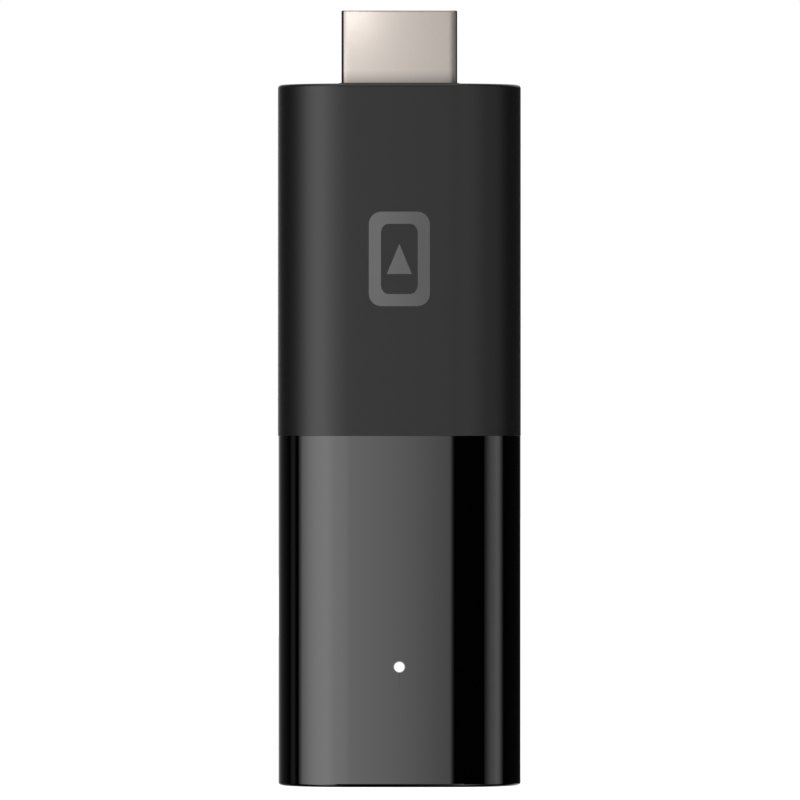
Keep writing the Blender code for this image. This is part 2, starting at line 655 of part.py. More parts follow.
def make_shields():
    """In front a soldered frame with a clip-on cover, and behind a one-piece can."""
    section = shield_section(FRONT_SHIELD)
    low, high = BOARD_FACE + GAP, BOARD_FACE + GAP + FRONT_SHIELD_HEIGHT
    profile = [(0, -low), (0, -high), (FRAME_LIP, -high), (FRAME_LIP, SHIELD_SHEET - high)]
    profile += [(SHIELD_SHEET, SHIELD_SHEET - high), (SHIELD_SHEET, -low)]
    sections = sections_of(section, profile)
    swept("front_shield_frame", "tin_plated_steel", "Y", sections, closed=True)
    cover_start = high + SHIELD_SHEET - COVER_SKIRT
    can("front_shield_cover", section, FRONT, cover_start, COVER_SKIRT, (0, 0), -SHIELD_SHEET - GAP)
    can("rear_shield_can", shield_section(REAR_SHIELD), REAR, BOARD_FACE, REAR_SHIELD_HEIGHT, (0, 0))


def make_pads_and_spreaders():
    """Silicone pads that carry heat from the chips to the cans, and on to a folded sheet at each face."""
    pad = "thermal_silicone"
    chip_top = BOARD_FACE + GAP + CHIP_HEIGHT
    front_can_top = BOARD_FACE + 2 * GAP + FRONT_SHIELD_HEIGHT + SHIELD_SHEET
    rear_can_top = BOARD_FACE + GAP + REAR_SHIELD_HEIGHT
    spreader_face = SPREADER_OFFSET - SPREADER_SHEET / 2
    chip_pads = (
        ("processor_pad", FRONT, 59 * MM, front_can_top - SHIELD_SHEET),
        ("storage_pad", REAR, 54 * MM, rear_can_top - SHIELD_SHEET),
    )
    for name, side, height, under in chip_pads:
        thickness = under - chip_top - 2 * GAP
        on_board(name, pad, side, (0, height), (10 * MM, 10 * MM), thickness, start=chip_top)
    can_pads = (
        ("front_gap_pad", FRONT, 56 * MM, front_can_top),
        ("rear_gap_pad", REAR, 53 * MM, rear_can_top),
    )
    for name, side, height, top in can_pads:
        thickness = spreader_face - top - 2 * GAP
        on_board(name, pad, side, (0, height), (12 * MM, 16 * MM), thickness, start=top)
    wing, edge = SPREADER_WING
    path = [(-wing, edge), (-SPREADER_FLAT, SPREADER_OFFSET), (SPREADER_FLAT, SPREADER_OFFSET), (wing, edge)]
    spans = (
        ("front_heat_spreader", FRONT, (27 * MM, 78 * MM)),
        ("rear_heat_spreader", REAR, (8 * MM, 78 * MM)),
    )
    for name, side, span in spans:
        outline = ribbon([(x, side * y) for x, y in path], SPREADER_SHEET)
        swept(name, "aluminium_sheet", "Z", [(outline, height) for height in span])


def main():
    for obj in list(bpy.data.objects):
        bpy.data.objects.remove(obj, do_unlink=True)
    root = bpy.data.objects.new("streaming_player", None)
    bpy.context.scene.collection.objects.link(root)
    make_lower_housing()
    make_upper_housing()
    make_plug_shell()
    make_plug_insulator()
    make_plug_contacts()
    make_board()
    make_usb_shell()
    make_usb_tongue()
    make_usb_contacts()
    make_status_light()
    make_chips()
    make_small_parts()
    make_wireless_module()
    make_shields()
    make_pads_and_spreaders()


main()
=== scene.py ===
"""The looks of the streaming media player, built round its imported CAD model.

Lengths are in metres in the model's own frame: +Z towards the plug, the front towards -Y, and the
power socket in the -X side. The two halves of the casing, the plug's shell and the light pipe get a
fine mesh in place of their CAD node, the front gets a printed mark, and every other CAD node keeps
its shape and gets small bevels and a material.
"""

import json
import math

import bmesh
import bpy
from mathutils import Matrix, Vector


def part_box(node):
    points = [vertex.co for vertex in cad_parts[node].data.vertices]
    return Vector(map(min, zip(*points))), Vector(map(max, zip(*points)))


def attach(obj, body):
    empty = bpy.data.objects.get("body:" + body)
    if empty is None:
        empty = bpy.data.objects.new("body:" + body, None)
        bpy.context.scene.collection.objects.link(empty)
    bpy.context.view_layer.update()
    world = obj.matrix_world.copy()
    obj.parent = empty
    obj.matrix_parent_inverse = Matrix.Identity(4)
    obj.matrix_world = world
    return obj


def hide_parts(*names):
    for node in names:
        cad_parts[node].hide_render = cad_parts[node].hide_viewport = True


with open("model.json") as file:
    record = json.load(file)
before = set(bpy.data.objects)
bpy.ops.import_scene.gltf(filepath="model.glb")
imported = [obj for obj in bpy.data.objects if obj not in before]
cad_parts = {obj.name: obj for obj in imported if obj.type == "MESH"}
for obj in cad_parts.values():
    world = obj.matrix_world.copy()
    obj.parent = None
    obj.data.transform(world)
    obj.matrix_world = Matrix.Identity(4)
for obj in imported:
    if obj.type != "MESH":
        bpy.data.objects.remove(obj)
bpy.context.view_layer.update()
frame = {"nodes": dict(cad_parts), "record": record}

MM = 0.001

# What the CAD nodes say
_, CAP_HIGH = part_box("lower_housing")
SLEEVE_LOW, SLEEVE_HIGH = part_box("upper_housing")
PLUG_LOW, PLUG_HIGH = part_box("hdmi_plug_shell")
PIPE_LOW, PIPE_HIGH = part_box("led_light_pipe")
PORT_SHELL_LOW, PORT_SHELL_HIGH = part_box("micro_usb_shell")

# The casing
HALF_WIDTH = CAP_HIGH.x
HALF_DEPTH = CAP_HIGH.y
HALF_FLAT = 5.9 * MM
CROWN_TURN = math.radians(2.35)
COLLAR_HEIGHT = 0.2 * MM
SHOULDER = SLEEVE_HIGH.z - COLLAR_HEIGHT
SEAM_GAP = 0.002 * MM
SLEEVE_RIM = SLEEVE_LOW.z
CAP_RIM = SLEEVE_RIM - SEAM_GAP
END_RADIUS = 0.42 * MM
RIM_RADIUS = 0.02 * MM
WALL = 1.5 * MM
END_WALL = 1.6 * MM
TONGUE_INSET = 0.85 * MM
SOCKET_INSET = 0.75 * MM
SOCKET_SPARE = 0.15 * MM
LEAD_IN = 0.15 * MM
SKIN_SLACK = 0.008 * MM
FLAT_STEPS = 8
SIDE_STEPS = 56
EDGE_STEPS = 8
RIM_STEPS = 3

# The plug
PLUG_WIDTH = 13.9 * MM
PLUG_NARROW_WIDTH = 10.4 * MM
PLUG_THICKNESS = 4.45 * MM
PLUG_SIDE = 2.55 * MM
PLUG_RADIUS = 0.6 * MM
PLUG_REAR = 79.3 * MM
PLUG_SHEET = 0.3 * MM
PLUG_CROWN = 0.1 * MM
TIP_RADIUS = 0.12 * MM
TIP_INNER_RADIUS = 0.06 * MM
COLLAR_BAND = 0.3 * MM
COLLAR_RADIUS = 0.06 * MM
SLOT_CLEARANCE = 0.08 * MM
CORNER_STEPS = 8
TIP_STEPS = 4

# The opening of the power socket
PORT_HEIGHT = (PORT_SHELL_LOW.z + PORT_SHELL_HIGH.z) / 2
PORT_SHIFT = (PORT_SHELL_LOW.y + PORT_SHELL_HIGH.y) / 2
PORT_LENGTH = 7.9 * MM
PORT_WIDTH = 2.9 * MM
PORT_RADIUS = 0.9 * MM
PORT_EDGE = 0.12 * MM

# The status light
LIGHT_HEIGHT = (PIPE_LOW.z + PIPE_HIGH.z) / 2
LIGHT_RADIUS = 0.65 * MM
LIGHT_CLEARANCE = 0.06 * MM
LIGHT_EDGE = 0.05 * MM
LIGHT_DOME = 0.06 * MM
DOME_STEPS = 5
FLANGE_GAP = 0.05 * MM
FLANGE_THICKNESS = 0.65 * MM
ROUND_STEPS = 64

# The printed mark: a screen with a play sign
MARK_CENTRE = 63.2 * MM
MARK_WIDTH = 7.3 * MM
MARK_HEIGHT = 11.3 * MM
MARK_STROKE = 1.45 * MM
MARK_RADIUS = 1.5 * MM
MARK_PROUD = 0.008 * MM
MARK_SUNK = 0.02 * MM
SIGN_WIDTH = 3.0 * MM
SIGN_HEIGHT = 3.6 * MM
SIGN_STEPS = 8

# The CAD nodes that stay
WELD_REACH = 0.0005 * MM
NODE_BEVEL = 0.03 * MM
NODE_BEVEL_STEPS = 2
NODE_BEVEL_ANGLE = math.radians(40)

SPACING = 0.5 * MM
SHARP_ANGLE = math.radians(32)
SKIN_ANGLE = math.radians(25)
OVERLAP = 0.2 * MM
SPARE = 1.0 * MM
TINY = 0.002 * MM

looks = {}  # this script's materials by slot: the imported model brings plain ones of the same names


# Shapes


def crowned_side():
    """The casing's half-elliptical side, and the height of the crown that meets it tangentially, as
    (centre, width, depth, height).
    """
    width = (HALF_WIDTH - HALF_FLAT) / (1 - math.sin(CROWN_TURN))
    rise = math.tan(CROWN_TURN) * HALF_FLAT / 2 / width
    depth = HALF_DEPTH / (math.cos(CROWN_TURN) + rise)
    return HALF_WIDTH - width, width, depth, depth * rise


SIDE_CENTRE, SIDE_WIDTH, SIDE_DEPTH, CROWN = crowned_side()


def front_line(x):
    """How deep the casing's front face lies at x."""
    return CROWN * (x / HALF_FLAT) ** 2 - HALF_DEPTH


def casing_skin():
    """(point, outward normal) pairs round the casing's outline, from the front's left edge."""
    pairs = []
    for step in range(FLAT_STEPS):
        x = HALF_FLAT * (2 * step / FLAT_STEPS - 1)
        normal = Vector((2 * CROWN * x / HALF_FLAT**2, -1)).normalized()
        pairs.append((Vector((x, front_line(x))), normal))
    for step in range(SIDE_STEPS):
        turn = CROWN_TURN + (math.pi - 2 * CROWN_TURN) * step / SIDE_STEPS
        point = Vector((SIDE_CENTRE + SIDE_WIDTH * math.sin(turn), -SIDE_DEPTH * math.cos(turn)))
        normal = Vector((math.sin(turn) / SIDE_WIDTH, -math.cos(turn) / SIDE_DEPTH)).normalized()
        pairs.append((point, normal))
    return pairs + [(-point, -normal) for point, normal in pairs]


def casing_section(inset):
    """The casing's outline moved in by inset."""
    return [point - normal * inset for point, normal in casing_skin()]


def skin_normal(point):
    """The outward normal of the casing's wall at a point on it, or None at a point that isn't on it."""
    x, y = abs(point.x), abs(point.y)
    if x <= HALF_FLAT:
        off = abs(y + front_line(x))
        normal = Vector((2 * CROWN * x / HALF_FLAT**2, 1, 0))
    else:
        across, deep = (x - SIDE_CENTRE) / SIDE_WIDTH, y / SIDE_DEPTH
        off = abs(math.hypot(across, deep) - 1) * SIDE_DEPTH
        normal = Vector((across / SIDE_WIDTH, deep / SIDE_DEPTH, 0))
    if off > SKIN_SLACK:
        return None
    normal.x = math.copysign(normal.x, point.x)
    normal.y = math.copysign(normal.y, point.y)
    return normal.normalized()


def arc(radius, steps, start, end):
    """(cosine, sine) steps of an arc times its radius, between two angles in degrees."""
    turns = [math.radians(start + (end - start) * step / steps) for step in range(steps + 1)]
    return [(radius * math.cos(turn), radius * math.sin(turn)) for turn in turns]


def moved_in(corners, distance):
    """A convex outline with every side moved inwards, or outwards by a negative distance."""
    moved = []
    for i, corner in enumerate(corners):
        before = (Vector(corners[i - 1]) - Vector(corner)).normalized()
        after = (Vector(corners[(i + 1) % len(corners)]) - Vector(corner)).normalized()
        half = before.angle(after) / 2
        moved.append(Vector(corner) + (before + after).normalized() * distance / math.sin(half))
    return moved


def rounded(corners, radius, steps=CORNER_STEPS):
    """A convex outline with each corner turned into an arc."""
    points = []
    for i, corner in enumerate(corners):
        before = (Vector(corners[i - 1]) - Vector(corner)).normalized()
        after = (Vector(corners[(i + 1) % len(corners)]) - Vector(corner)).normalized()
        half = before.angle(after) / 2
        inwards = (before + after).normalized()
        centre = Vector(corner) + inwards * radius / math.sin(half)
        hand = math.copysign(1, before.cross(after))
        middle = math.atan2(-inwards.y, -inwards.x)
        for step in range(steps + 1):
            turn = middle + hand * (math.pi - 2 * half) * (0.5 - step / steps)
            points.append(centre + Vector((math.cos(turn), math.sin(turn))) * radius)
    return points


def subdivided(outline, spacing):
    """The same outline with extra points on its long sides."""
    points = []
    for i, start in enumerate(outline):
        end = outline[(i + 1) % len(outline)]
        count = max(1, math.ceil((end - start).length / spacing))
        points += [start.lerp(end, step / count) for step in range(count)]
    return points


def rectangle(half_width, half_height):
    """The corners of a rectangle round the origin, in order."""
    return [
        (-half_width, -half_height),
        (half_width, -half_height),
        (half_width, half_height),
        (-half_width, half_height),
    ]


def plug_section(inset):
    """The plug's outline moved in by inset: a wide face in front, and bevels to a narrow face behind."""
    half, narrow, depth = PLUG_WIDTH / 2, PLUG_NARROW_WIDTH / 2, PLUG_THICKNESS / 2
    corners = [(-half, -depth), (half, -depth), (half, PLUG_SIDE - depth)]
    corners += [(narrow, depth), (-narrow, depth), (-half, PLUG_SIDE - depth)]
    return rounded(moved_in(corners, inset), PLUG_RADIUS - inset)


def crowned_plug_section(inset):
    """The plug's outline with a shallow crown pressed into the outside of its wide face."""
    strength = PLUG_CROWN * (1 - inset / PLUG_SHEET)
    points = subdivided(plug_section(inset), SPACING)
    for point in points:
        forward = max(0, -point.y / (PLUG_THICKNESS / 2))
        point.y += strength * forward * (point.x / (PLUG_WIDTH / 2)) ** 2
    return points


# Meshes


def new_object(name, mesh):
    """An object that shows a bmesh, which is freed."""
    bmesh.ops.recalc_face_normals(mesh, faces=mesh.faces)
    data = bpy.data.meshes.new(name)
    mesh.to_mesh(data)
    mesh.free()
    obj = bpy.data.objects.new(name, data)
    bpy.context.scene.collection.objects.link(obj)
    return obj


def skinned(name, rings, closed=False):
    """A solid whose skin joins each ring of points to the next, with its end rings capped, or joined if
    closed.
    """
    mesh = bmesh.new()
    rings = [[mesh.verts.new(point) for point in ring] for ring in rings]
    pairs = list(zip(rings, rings[1:]))
    if closed:
        pairs.append((rings[-1], rings[0]))
    else:
        mesh.faces.new(rings[0])
        mesh.faces.new(rings[-1])
    for first, second in pairs:
        for i in range(len(first)):
            j = (i + 1) % len(first)
            mesh.faces.new((first[i], first[j], second[j], second[i]))
    return new_object(name, mesh)


def upright(name, section, profile, closed=False):
    """A solid from one outline for each (inset, height) of a profile."""
    rings = [[(x, y, height) for x, y in section(inset)] for inset, height in profile]
    return skinned(name, rings, closed)


def boolean(target, operation, tool):
    """Joins tool to target or cuts it away."""
    modifier = target.modifiers.new(tool.name, "BOOLEAN")
    modifier.operation = operation
    modifier.object = tool


def settled(obj):
    """Applies the Booleans of obj and removes their tools."""
    tools = [modifier.object for modifier in obj.modifiers]
    graph = bpy.context.evaluated_depsgraph_get()
    obj.data = bpy.data.meshes.new_from_object(obj.evaluated_get(graph))
    obj.modifiers.clear()
    for tool in tools:
        bpy.data.objects.remove(tool)


def smooth(obj):
    """Smooth shading, broken at sharp edges."""
    obj.data.shade_smooth()
    obj.data.set_sharp_from_angle(angle=SHARP_ANGLE)


def true_normals(obj):
    """Gives the casing's wall and its level faces exact normals, so that reflections run straight."""
    smooth(obj)
    mesh = obj.data
    normals = [corner.vector.copy() for corner in mesh.corner_normals]
    for face in mesh.polygons:
        level = Vector((0, 0, math.copysign(1, face.normal.z)))
        for index in face.loop_indices:
            point = mesh.vertices[mesh.loops[index].vertex_index].co
            wall = skin_normal(point)
            if wall and face.normal.angle(wall) < SKIN_ANGLE:
                normals[index] = wall
            elif face.normal.angle(level) < TINY:
                normals[index] = level
    mesh.normals_split_custom_set(normals)


def made(obj, slot, *nodes, material=None):
    """Gives a piece the material of its slot, or the one named, hangs it on the root body and hides the
    CAD nodes that it replaces.
    """
    obj.data.materials.clear()
    obj.data.materials.append(looks[material or slot])
    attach(obj, "root")
    if nodes:
        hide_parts(*nodes)


# The casing


def end_edge(end, inwards):
    """The rounded edge between an end face and the wall, as (inset, height) steps from the end face."""
    steps = arc(END_RADIUS, EDGE_STEPS, 90, 0)
    return [(END_RADIUS - x, end + inwards * (END_RADIUS - y)) for x, y in steps]


def rim_edge(rim, inwards):
    """The softened edge of a rim at the seam, as (inset, height) steps towards the rim's face."""
    steps = arc(RIM_RADIUS, RIM_STEPS, 0, 90)
    return [(RIM_RADIUS - x, rim + inwards * (RIM_RADIUS - y)) for x, y in steps]


def make_cap():
    """The gloss lower half, with its tongue, its port and the hole for the status light."""
    top = CAP_HIGH.z
    profile = end_edge(0, 1) + rim_edge(CAP_RIM, -1)
    profile += [(TONGUE_INSET, CAP_RIM), (TONGUE_INSET, top - LEAD_IN), (TONGUE_INSET + LEAD_IN, top)]
    profile += [(WALL, top), (WALL, WALL)]
    cap = upright("gloss_lower_casing", casing_section, profile)
    boolean(cap, "DIFFERENCE", port_tool())
    boolean(cap, "DIFFERENCE", light_hole_tool())
    settled(cap)
    true_normals(cap)
    made(cap, "gloss_black_plastic", "lower_housing")


def flare(radius, steps):
    """(how far wider, how deep) steps of a rounded mouth, which start a little outside the surface."""
    steps = [(radius - x, radius - y) for y, x in arc(radius, steps, 0, 90)]
    (wide, deep), (wider, deeper) = steps[1], steps[0]
    return [(2 * wider - wide, 2 * deeper - deep)] + steps


def port_tool():
    """The port's opening, straight through the wall, with a rounded mouth that follows the curve."""

    def ring(wider, place):
        corners = rectangle(PORT_WIDTH / 2 + wider, PORT_LENGTH / 2 + wider)
        outline = subdivided(rounded(corners, PORT_RADIUS + wider), SPACING)
        return [(place(PORT_SHIFT + y), PORT_SHIFT + y, PORT_HEIGHT + z) for y, z in outline]

    def wall(deep):
        return lambda y: deep - SIDE_CENTRE - SIDE_WIDTH * math.sqrt(1 - (y / SIDE_DEPTH) ** 2)

    mouth = [(wider, deep) for wider, deep in flare(PORT_EDGE, EDGE_STEPS // 2)]
    rings = [ring(mouth[0][0], lambda y: -HALF_WIDTH - SPARE)]
    rings += [ring(wider, wall(deep)) for wider, deep in mouth]
    rings.append(ring(0, lambda y: WALL + SPARE - HALF_WIDTH))
    return skinned("port_tool", rings)


def light_hole_tool():
    """The hole for the light pipe, with a softened edge."""
    radius = LIGHT_RADIUS + LIGHT_CLEARANCE
    mouth = flare(LIGHT_EDGE, RIM_STEPS)
    steps = [(radius + mouth[0][0], -HALF_DEPTH - SPARE)]
    steps += [(radius + wider, deep - HALF_DEPTH) for wider, deep in mouth]
    steps.append((radius, WALL + SPARE - HALF_DEPTH))
    return turned("light_hole_tool", steps)


def turned(name, steps):
    """A round solid along Y at the status light's height, from (radius, distance) steps."""
    rings = []
    for radius, distance in steps:
        circle = arc(radius, ROUND_STEPS, 0, 360)[:-1]
        rings.append([(x, distance, LIGHT_HEIGHT + z) for x, z in circle])
    return skinned(name, rings)


def make_sleeve():
    """The matte upper half, with the raised collar and the slot of the plug."""
    inner_rim = CAP_HIGH.z + SOCKET_SPARE
    profile = end_edge(SHOULDER, -1) + rim_edge(SLEEVE_RIM, 1)
    profile += [(SOCKET_INSET, SLEEVE_RIM), (SOCKET_INSET, inner_rim)]
    profile += [(WALL, inner_rim), (WALL, SHOULDER - END_WALL)]
    sleeve = upright("matte_upper_casing", casing_section, profile)
    top = SHOULDER + COLLAR_HEIGHT
    edge = arc(COLLAR_RADIUS, RIM_STEPS, 0, 90)
    collar = [(-COLLAR_BAND, SHOULDER - OVERLAP)]
    collar += [(COLLAR_RADIUS - x - COLLAR_BAND, top - COLLAR_RADIUS + y) for x, y in edge]
    boolean(sleeve, "UNION", upright("collar_tool", plug_section, collar))
    slot = [(-SLOT_CLEARANCE, SHOULDER - END_WALL - SPARE), (-SLOT_CLEARANCE, top + SPARE)]
    boolean(sleeve, "DIFFERENCE", upright("slot_tool", plug_section, slot))
    settled(sleeve)
    true_normals(sleeve)
    made(sleeve, "matte_black_plastic", "upper_housing")


# The plug and the light


def make_plug_shell():
    """The plug's pressed shell, with rolled edges round its mouth."""
    tip = PLUG_HIGH.z
    outer = arc(TIP_RADIUS, TIP_STEPS, 0, 90)
    inner = arc(TIP_INNER_RADIUS, RIM_STEPS, 90, 0)
    profile = [(0, PLUG_REAR), (0, tip - 2 * TIP_RADIUS)]
    profile += [(TIP_RADIUS - x, tip - TIP_RADIUS + y) for x, y in outer]
    profile += [(PLUG_SHEET - TIP_INNER_RADIUS + x, tip - TIP_INNER_RADIUS + y) for x, y in inner]
    profile.append((PLUG_SHEET, PLUG_REAR))
    shell = upright("plug_shell", crowned_plug_section, profile, closed=True)
    smooth(shell)
    made(shell, "nickel_plated_steel", "hdmi_plug_shell")


def make_light_pipe():
    """The end of the light pipe, slightly domed, and its flange behind the wall."""
    front = PIPE_LOW.y
    flange = WALL - HALF_DEPTH + FLANGE_GAP
    behind = flange + FLANGE_THICKNESS
    shares = [(step + 1) / DOME_STEPS for step in range(DOME_STEPS)]
    steps = [(LIGHT_RADIUS * share, front + LIGHT_DOME * share**2) for share in shares]
    steps += [(LIGHT_RADIUS, front + 2 * LIGHT_DOME), (LIGHT_RADIUS, flange)]
    steps += [(PIPE_HIGH.x, flange), (PIPE_HIGH.x, behind), (LIGHT_RADIUS, behind)]
    steps.append((LIGHT_RADIUS, PIPE_HIGH.y))
    pipe = turned("light_pipe", steps)
    smooth(pipe)
    made(pipe, "clear_light_pipe", "led_light_pipe", material="lit_light_pipe")


# The mark


def on_front(x, proud):
    """The depth of a point that stands proud of the casing's front at x."""
    return front_line(x) - proud


def screen_rings():
    """Sections across the screen's outline, all the way round it."""
    outer = subdivided(rounded(rectangle(MARK_WIDTH / 2, MARK_HEIGHT / 2), MARK_RADIUS), SPACING)
    share = Vector((1 - 2 * MARK_STROKE / MARK_WIDTH, 1 - 2 * MARK_STROKE / MARK_HEIGHT))
    rings = []
    for point in outer:
        inner = Vector((point.x * share.x, point.y * share.y))
        corners = ((point, MARK_PROUD), (inner, MARK_PROUD), (inner, -MARK_SUNK), (point, -MARK_SUNK))
        rings.append([(at.x, on_front(at.x, proud), MARK_CENTRE + at.y) for at, proud in corners])
    return rings


def sign_rings():
    """Upright sections through the play sign, which points towards the plug, from its left corner."""
    rings = []
    low = MARK_CENTRE - SIGN_HEIGHT / 2
    for step in range(SIGN_STEPS + 1):
        x = SIGN_WIDTH * (step / SIGN_STEPS - 0.5)
        high = low + max(TINY, SIGN_HEIGHT * (1 - abs(2 * step / SIGN_STEPS - 1)))
        corners = ((low, MARK_PROUD), (high, MARK_PROUD), (high, -MARK_SUNK), (low, -MARK_SUNK))
        rings.append([(x, on_front(x, proud), z) for z, proud in corners])
    return rings


def make_mark():
    """A printed screen outline with a play sign in it, both thin solids that follow the crowned front."""
    screen = skinned("printed_screen", screen_rings(), closed=True)
    sign = skinned("printed_play_sign", sign_rings())
    for piece in (screen, sign):
        made(piece, "gloss_black_plastic", material="printed_mark")


# Materials

# Painted shade on the plug's nickel over its folds, where the rounded metal would reflect dark
# surroundings, between two distances from its side in corner radii
LEFT_FOLD = (0.3, 0.95)
LEFT_FOLD_SHARE = 0.2
RIGHT_FOLD = (0.8, 1.5)
RIGHT_FOLD_SHARE = 0.66
# Painted shade towards the collar, standing in for the dark collar reflected in the metal, from some way
# up
FOOT_REACH = 1.5 * MM
FOOT_SHARE = 0.6

# The glow of the light pipe, in its middle and at its rim
GLOW = 1.4
RIM_GLOW = 0.2


def new_material(name, colour, roughness, metallic=0.0):
    """(node tree, Principled shader) of a new material."""
    material = looks[name] = bpy.data.materials.new(f"look_{name}")
    material.use_nodes = True
    tree = material.node_tree
    shader = tree.nodes["Principled BSDF"]
    shader.inputs["Base Color"].default_value = (*colour, 1)
    shader.inputs["Roughness"].default_value = roughness
    shader.inputs["Metallic"].default_value = metallic
    return tree, shader


def noise(tree, size, stretch=(1, 1, 1), detail=3.0):
    """Noise with features of that size, in metres, longer along an axis by its stretch."""
    place = tree.nodes.new("ShaderNodeTexCoord")
    mapping = tree.nodes.new("ShaderNodeMapping")
    mapping.inputs["Scale"].default_value = [1 / share for share in stretch]
    pattern = tree.nodes.new("ShaderNodeTexNoise")
    pattern.inputs["Scale"].default_value = 1 / size
    pattern.inputs["Detail"].default_value = detail
    tree.links.new(place.outputs["Object"], mapping.inputs["Vector"])
    tree.links.new(mapping.outputs["Vector"], pattern.inputs["Vector"])
    return pattern.outputs["Fac"]


def ranged(tree, value, low, high, start=0.3, end=0.7):
    """A value between start and end turned into one between low and high."""
    node = tree.nodes.new("ShaderNodeMapRange")
    for socket, number in zip(("From Min", "From Max", "To Min", "To Max"), (start, end, low, high)):
        node.inputs[socket].default_value = number
    tree.links.new(value, node.inputs["Value"])
    return node.outputs["Result"]


def calculated(tree, operation, first, second):
    """A Math node on two values, each a socket or a number."""
    node = tree.nodes.new("ShaderNodeMath")
    node.operation = operation
    for socket, value in zip(node.inputs, (first, second)):
        if isinstance(value, (int, float)):
            socket.default_value = value
        else:
            tree.links.new(value, socket)
    return node.outputs["Value"]


def tinted(tree, shader, value, dark, light):
    """Varies the colour between dark and light."""
    mix = tree.nodes.new("ShaderNodeMix")
    mix.data_type = "RGBA"
    mix.inputs["A"].default_value = (*dark, 1)
    mix.inputs["B"].default_value = (*light, 1)
    tree.links.new(ranged(tree, value, 0, 1), mix.inputs["Factor"])
    tree.links.new(mix.outputs["Result"], shader.inputs["Base Color"])


def bumped(tree, shader, value, height):
    """Raises the surface by up to height, in metres."""
    bump = tree.nodes.new("ShaderNodeBump")
    bump.inputs["Strength"].default_value = 1
    bump.inputs["Distance"].default_value = height
    tree.links.new(value, bump.inputs["Height"])
    tree.links.new(bump.outputs["Normal"], shader.inputs["Normal"])


def finish(
    name, colour, roughness, metallic=0.0, grain=0.3 * MM, stretch=(1, 1, 1), vary=0.06, tint=0.12,
    relief=0.0,
):
    """(node tree, Principled shader) of a material that varies with one grain: how much its roughness and
    its colour vary, and its relief in metres.
    """
    tree, shader = new_material(name, colour, roughness, metallic)
    pattern = noise(tree, grain, stretch)
    dark = [channel * (1 - tint) for channel in colour]
    light = [min(1, channel * (1 + tint)) for channel in colour]
    tinted(tree, shader, pattern, dark, light)
    rough = ranged(tree, pattern, max(0.01, roughness - vary), roughness + vary)
    tree.links.new(rough, shader.inputs["Roughness"])
    if relief:
        bumped(tree, shader, pattern, relief)
    return tree, shader


def make_materials():
    make_matte_plastic()
    finish("gloss_black_plastic", (0.0004, 0.0004, 0.0004), 0.025, grain=2.5 * MM, vary=0.005)
    make_nickel()
    finish(
        "tin_plated_steel", (0.60, 0.61, 0.62), 0.34, 1, grain=0.25 * MM, vary=0.08, tint=0.06,
        relief=0.001 * MM,
    )
    finish(
        "gold_plated_contact", (0.83, 0.61, 0.26), 0.2, 1, grain=0.1 * MM, stretch=(1, 1, 5), tint=0.05,
        relief=0.0004 * MM,
    )
    finish("black_insulator", (0.011, 0.011, 0.012), 0.42, grain=0.12 * MM, relief=0.0015 * MM)
    finish(
        "solder_mask", (0.008, 0.05, 0.026), 0.3, grain=0.5 * MM, vary=0.08, tint=0.25, relief=0.003 * MM
    )
    finish("chip_epoxy", (0.017, 0.017, 0.019), 0.6, grain=0.06 * MM, vary=0.05, relief=0.002 * MM)
    finish("ceramic", (0.60, 0.53, 0.43), 0.5, grain=0.15 * MM, relief=0.002 * MM)
    finish("thermal_silicone", (0.28, 0.40, 0.50), 0.75, grain=0.2 * MM, vary=0.1, relief=0.006 * MM)
    finish(
        "aluminium_sheet", (0.78, 0.79, 0.80), 0.3, 1, grain=0.1 * MM, stretch=(1, 1, 12), vary=0.08,
        tint=0.04, relief=0.001 * MM,
    )
    finish("clear_light_pipe", (0.95, 0.96, 0.98), 0.08)
    make_printing_ink()
    make_lit_pipe_material()


def make_matte_plastic():
    """Black plastic with a fine moulded texture."""
    _, shader = finish(
        "matte_black_plastic", (0.003, 0.003, 0.003), 0.42, grain=0.09 * MM, vary=0.02, relief=0.0008 * MM
    )
    shader.inputs["IOR"].default_value = 1.46


def make_printing_ink():
    """The mark's grey ink, smoother than the plastic under it."""
    _, shader = finish("printed_mark", (0.012, 0.012, 0.012), 0.16, grain=0.15 * MM, vary=0.02)
    shader.inputs["IOR"].default_value = 1.6


def make_nickel():
    """Satin nickel, darkened by painted shade over the folds at the plug's sides and towards its foot."""
    tree, shader = finish(
        "nickel_plated_steel", (0.395, 0.357, 0.328), 0.3, 1, grain=0.12 * MM, stretch=(1, 1, 6),
        vary=0.02, tint=0.02,
    )
    place = tree.nodes.new("ShaderNodeTexCoord")
    split = tree.nodes.new("ShaderNodeSeparateXYZ")
    tree.links.new(place.outputs["Object"], split.inputs["Vector"])
    # Painted shade over the left and right folds, and towards the collar
    outer, inner = [PLUG_RADIUS * share - PLUG_WIDTH / 2 for share in LEFT_FOLD]
    left = ranged(tree, split.outputs["X"], LEFT_FOLD_SHARE, 1, outer, inner)
    outer, inner = [PLUG_WIDTH / 2 - PLUG_RADIUS * share for share in RIGHT_FOLD]
    right = ranged(tree, split.outputs["X"], 1, RIGHT_FOLD_SHARE, inner, outer)
    folds = calculated(tree, "MULTIPLY", left, right)
    foot = ranged(tree, split.outputs["Z"], FOOT_SHARE, 1, SLEEVE_HIGH.z, SLEEVE_HIGH.z + FOOT_REACH)
    painted_shade = calculated(tree, "MULTIPLY", folds, foot)
    # The nickel's colour times the painted shade
    shade = tree.nodes.new("ShaderNodeVectorMath")
    shade.operation = "SCALE"
    tree.links.new(shader.inputs["Base Color"].links[0].from_socket, shade.inputs[0])
    tree.links.new(painted_shade, shade.inputs["Scale"])
    tree.links.new(shade.outputs["Vector"], shader.inputs["Base Color"])


